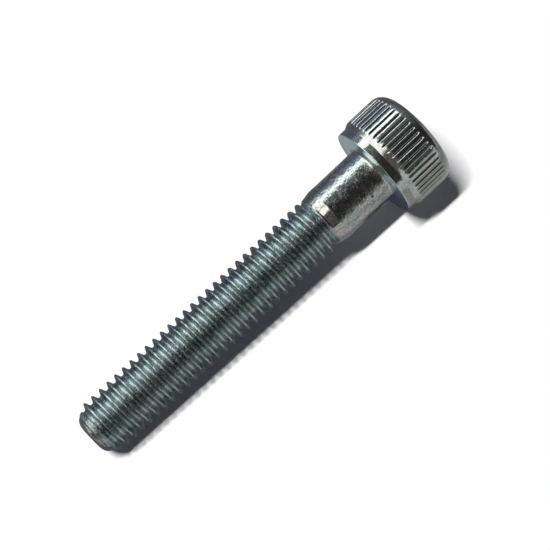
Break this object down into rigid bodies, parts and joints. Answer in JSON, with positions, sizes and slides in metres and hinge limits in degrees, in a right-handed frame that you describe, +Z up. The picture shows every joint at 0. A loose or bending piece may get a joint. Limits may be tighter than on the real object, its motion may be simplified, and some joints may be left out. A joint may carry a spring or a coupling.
{
  "type": "hex socket cap screw",
  "caption": "Steel screw with a straight-knurled cylindrical head, a hexagon socket, a plain shank and a rolled thread with a chamfered point.",
  "frame": {"origin": "on the ground under the middle of the screw as it lies at rest", "axes": "+X along the screw from the point to the head, +Z up; the screw's own axis rises to the head by 3.75 degrees, because it rests on the head's lands and on a thread crest near the point"},
  "size_m": [0.035, 0.0084, 0.0086],
  "materials": {
    "zinc_plated_steel": "bright zinc plate with a faint blue cast, semi-gloss"
  },
  "bodies": {
    "root": {"cap_screw": "zinc_plated_steel"}
  },
  "joints": []
}
